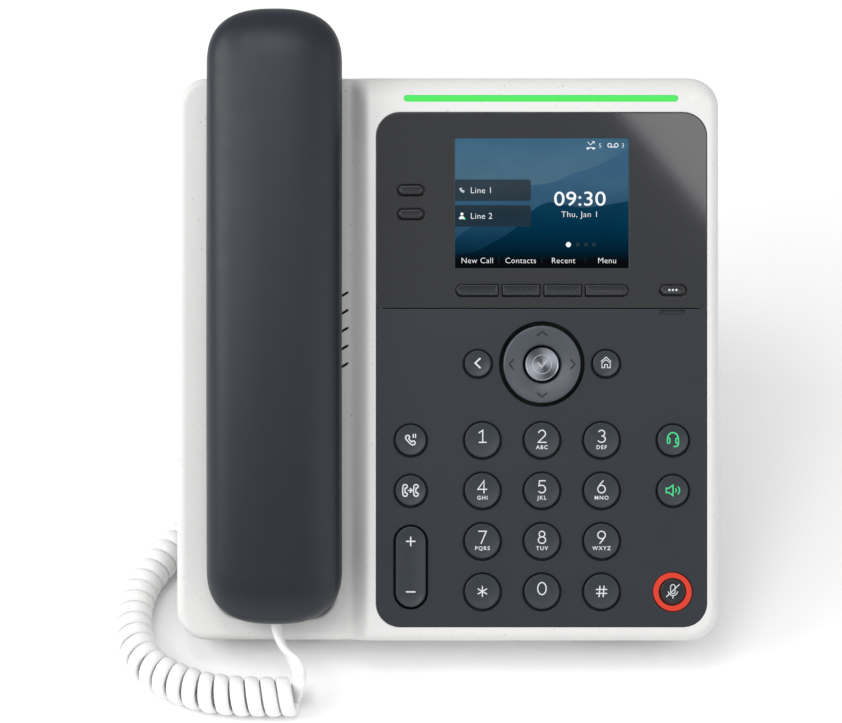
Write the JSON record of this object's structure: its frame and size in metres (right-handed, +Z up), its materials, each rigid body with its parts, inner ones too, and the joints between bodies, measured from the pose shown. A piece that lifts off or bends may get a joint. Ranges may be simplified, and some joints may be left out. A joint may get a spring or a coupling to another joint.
{
  "type": "desk ip phone",
  "caption": "Desk IP phone on a fold-out leg, with a cradled handset on a curly cord, a colour display, a call light bar, dial and function keys and a tilting navigation ring.",
  "frame": {"origin": "on the desk, under the middle of the phone's bounding box without its cord", "axes": "+X to the user's right as they face the phone, +Y away from the user, +Z up"},
  "size_m": [0.2032, 0.1852, 0.1801],
  "materials": {
    "housing": "off-white moulded plastic with a fine fleck and a light grain",
    "key_panel": "slate blue-grey moulded plastic, fine satin grain",
    "display_glass": "glossy neutral dark grey lens over the display",
    "display": "lit colour display",
    "keys": "satin dark slate key caps with white legends",
    "gloss_keys": "glossy dark pill keys",
    "nav_ring": "satin slate ring with four shallow chevrons",
    "select_metal": "spun metal disc with a bright rim",
    "handset": "dark blue-grey satin moulded plastic",
    "cord": "soft white flexible PVC",
    "clear_plug": "clear moulded plug with gold contacts",
    "call_light": "lit green light bar",
    "mute_light": "lit red ring",
    "rubber_mat": "dark grey silicone key mat",
    "rubber_feet": "dark rubber feet, ribbed",
    "dark_parts": "black moulded plastic",
    "circuit_board": "green solder mask",
    "jack_metal": "folded shield cans of the network sockets",
    "steel": "plated steel screws and pins"
  },
  "bodies": {
    "base": {"rear_housing": "housing", "front_housing": "housing", "display_bezel": "display_glass", "keypad_panel": "key_panel", "lcd_module": "display", "light_bar": "call_light", "mute_light_ring": "mute_light", "main_board": "circuit_board", "keypad_board": "circuit_board", "key_mat": "rubber_mat", "loudspeaker": "dark_parts", "network_jacks": "jack_metal", "cord_jacks": "dark_parts", "power_jack": "dark_parts", "housing_screws": "steel", "base_feet": "rubber_feet", "handset_tab": "housing", "hinge_pins": "steel", "base_plug": "clear_plug", "cord_coil": "cord", "cord_tail_base": "cord"},
    "hook": {"hook_plunger": "dark_parts"},
    "leg": {"stand": "housing", "stand_feet": "rubber_feet"},
    "handset": {"handset_back_shell": "handset", "handset_front_shell": "handset", "receiver": "steel", "handset_microphone": "steel", "handset_plug": "clear_plug", "cord_tail_handset": "cord"},
    "volume": {"volume_rocker": "keys"},
    "mute": {"mute_key": "gloss_keys"},
    "page": {"page_key": "gloss_keys"},
    "nav_tilt": {"nav_frame": "dark_parts"},
    "nav_turn": {"nav_ring": "nav_ring"},
    "select": {"select_button": "select_metal"},
    "key_1": {"key_1": "keys"},
    "key_2": {"key_2": "keys"},
    "key_3": {"key_3": "keys"},
    "key_4": {"key_4": "keys"},
    "key_5": {"key_5": "keys"},
    "key_6": {"key_6": "keys"},
    "key_7": {"key_7": "keys"},
    "key_8": {"key_8": "keys"},
    "key_9": {"key_9": "keys"},
    "key_star": {"key_star": "keys"},
    "key_0": {"key_0": "keys"},
    "key_hash": {"key_hash": "keys"},
    "soft_key_1": {"soft_key_1": "gloss_keys"},
    "soft_key_2": {"soft_key_2": "gloss_keys"},
    "soft_key_3": {"soft_key_3": "gloss_keys"},
    "soft_key_4": {"soft_key_4": "gloss_keys"},
    "line_key_1": {"line_key_1": "gloss_keys"},
    "line_key_2": {"line_key_2": "gloss_keys"},
    "back_key": {"back_key": "keys"},
    "home_key": {"home_key": "keys"},
    "hold_key": {"hold_key": "keys"},
    "transfer_key": {"transfer_key": "keys"},
    "headset_key": {"headset_key": "keys"},
    "speaker_key": {"speaker_key": "keys"}
  },
  "joints": [
    {"name": "volume_rock", "type": "hinge", "parent": "base", "child": "volume", "pos_m": [-0.0121, -0.06356, 0.03624], "axis": [1, 0, 0], "range_deg": [-3, 3], "stiffness_Nm_per_rad": 0.12},
    {"name": "nav_up_down", "type": "hinge", "parent": "base", "child": "nav_tilt", "pos_m": [0.0313, -0.01829, 0.08591], "axis": [1, 0, 0], "range_deg": [-2.5, 2.5], "stiffness_Nm_per_rad": 0.12},
    {"name": "nav_left_right", "type": "hinge", "parent": "nav_tilt", "child": "nav_turn", "pos_m": [0.0313, -0.01963, 0.08712], "axis": [0, 0.6691, 0.7431], "range_deg": [-2.5, 2.5], "stiffness_Nm_per_rad": 0.12},
    {"name": "leg_fold", "type": "hinge", "parent": "base", "child": "leg", "pos_m": [0, 0.06145, 0.10992], "axis": [-1, 0, 0], "range_deg": [0, 50]},
    {"name": "handset_lift", "type": "slide", "parent": "base", "child": "handset", "axis": [0, -0.7431, 0.6691], "range_m": [0, 0.06]},
    {"name": "hook_rise", "type": "slide", "parent": "base", "child": "hook", "axis": [0, -0.7431, 0.6691], "range_m": [0, 0.003]},
    {"name": "key_1_press", "type": "slide", "parent": "base", "child": "key_1", "axis": [0, 0.7431, -0.6691], "range_m": [0, 0.001], "stiffness_N_per_m": 500},
    {"name": "key_2_press", "type": "slide", "parent": "base", "child": "key_2", "axis": [0, 0.7431, -0.6691], "range_m": [0, 0.001], "stiffness_N_per_m": 500},
    {"name": "key_3_press", "type": "slide", "parent": "base", "child": "key_3", "axis": [0, 0.7431, -0.6691], "range_m": [0, 0.001], "stiffness_N_per_m": 500},
    {"name": "key_4_press", "type": "slide", "parent": "base", "child": "key_4", "axis": [0, 0.7431, -0.6691], "range_m": [0, 0.001], "stiffness_N_per_m": 500},
    {"name": "key_5_press", "type": "slide", "parent": "base", "child": "key_5", "axis": [0, 0.7431, -0.6691], "range_m": [0, 0.001], "stiffness_N_per_m": 500},
    {"name": "key_6_press", "type": "slide", "parent": "base", "child": "key_6", "axis": [0, 0.7431, -0.6691], "range_m": [0, 0.001], "stiffness_N_per_m": 500},
    {"name": "key_7_press", "type": "slide", "parent": "base", "child": "key_7", "axis": [0, 0.7431, -0.6691], "range_m": [0, 0.001], "stiffness_N_per_m": 500},
    {"name": "key_8_press", "type": "slide", "parent": "base", "child": "key_8", "axis": [0, 0.7431, -0.6691], "range_m": [0, 0.001], "stiffness_N_per_m": 500},
    {"name": "key_9_press", "type": "slide", "parent": "base", "child": "key_9", "axis": [0, 0.7431, -0.6691], "range_m": [0, 0.001], "stiffness_N_per_m": 500},
    {"name": "key_star_press", "type": "slide", "parent": "base", "child": "key_star", "axis": [0, 0.7431, -0.6691], "range_m": [0, 0.001], "stiffness_N_per_m": 500},
    {"name": "key_0_press", "type": "slide", "parent": "base", "child": "key_0", "axis": [0, 0.7431, -0.6691], "range_m": [0, 0.001], "stiffness_N_per_m": 500},
    {"name": "key_hash_press", "type": "slide", "parent": "base", "child": "key_hash", "axis": [0, 0.7431, -0.6691], "range_m": [0, 0.001], "stiffness_N_per_m": 500},
    {"name": "soft_key_1_press", "type": "slide", "parent": "base", "child": "soft_key_1", "axis": [0, 0.7431, -0.6691], "range_m": [0, 0.001], "stiffness_N_per_m": 500},
    {"name": "soft_key_2_press", "type": "slide", "parent": "base", "child": "soft_key_2", "axis": [0, 0.7431, -0.6691], "range_m": [0, 0.001], "stiffness_N_per_m": 500},
    {"name": "soft_key_3_press", "type": "slide", "parent": "base", "child": "soft_key_3", "axis": [0, 0.7431, -0.6691], "range_m": [0, 0.001], "stiffness_N_per_m": 500},
    {"name": "soft_key_4_press", "type": "slide", "parent": "base", "child": "soft_key_4", "axis": [0, 0.7431, -0.6691], "range_m": [0, 0.001], "stiffness_N_per_m": 500},
    {"name": "line_key_1_press", "type": "slide", "parent": "base", "child": "line_key_1", "axis": [0, 0.7431, -0.6691], "range_m": [0, 0.001], "stiffness_N_per_m": 500},
    {"name": "line_key_2_press", "type": "slide", "parent": "base", "child": "line_key_2", "axis": [0, 0.7431, -0.6691], "range_m": [0, 0.001], "stiffness_N_per_m": 500},
    {"name": "back_key_press", "type": "slide", "parent": "base", "child": "back_key", "axis": [0, 0.7431, -0.6691], "range_m": [0, 0.001], "stiffness_N_per_m": 500},
    {"name": "home_key_press", "type": "slide", "parent": "base", "child": "home_key", "axis": [0, 0.7431, -0.6691], "range_m": [0, 0.001], "stiffness_N_per_m": 500},
    {"name": "hold_key_press", "type": "slide", "parent": "base", "child": "hold_key", "axis": [0, 0.7431, -0.6691], "range_m": [0, 0.001], "stiffness_N_per_m": 500},
    {"name": "transfer_key_press", "type": "slide", "parent": "base", "child": "transfer_key", "axis": [0, 0.7431, -0.6691], "range_m": [0, 0.001], "stiffness_N_per_m": 500},
    {"name": "headset_key_press", "type": "slide", "parent": "base", "child": "headset_key", "axis": [0, 0.7431, -0.6691], "range_m": [0, 0.001], "stiffness_N_per_m": 500},
    {"name": "speaker_key_press", "type": "slide", "parent": "base", "child": "speaker_key", "axis": [0, 0.7431, -0.6691], "range_m": [0, 0.001], "stiffness_N_per_m": 500},
    {"name": "page_press", "type": "slide", "parent": "base", "child": "page", "axis": [0, 0.7431, -0.6691], "range_m": [0, 0.001], "stiffness_N_per_m": 500},
    {"name": "mute_press", "type": "slide", "parent": "base", "child": "mute", "axis": [0, 0.7431, -0.6691], "range_m": [0, 0.001], "stiffness_N_per_m": 500},
    {"name": "select_press", "type": "slide", "parent": "base", "child": "select", "axis": [0, 0.7431, -0.6691], "range_m": [0, 0.0008], "stiffness_N_per_m": 500}
  ],
  "couplings": [
    {"joint": "hook_rise", "follows": "handset_lift", "ratio": 0.05}
  ]
}
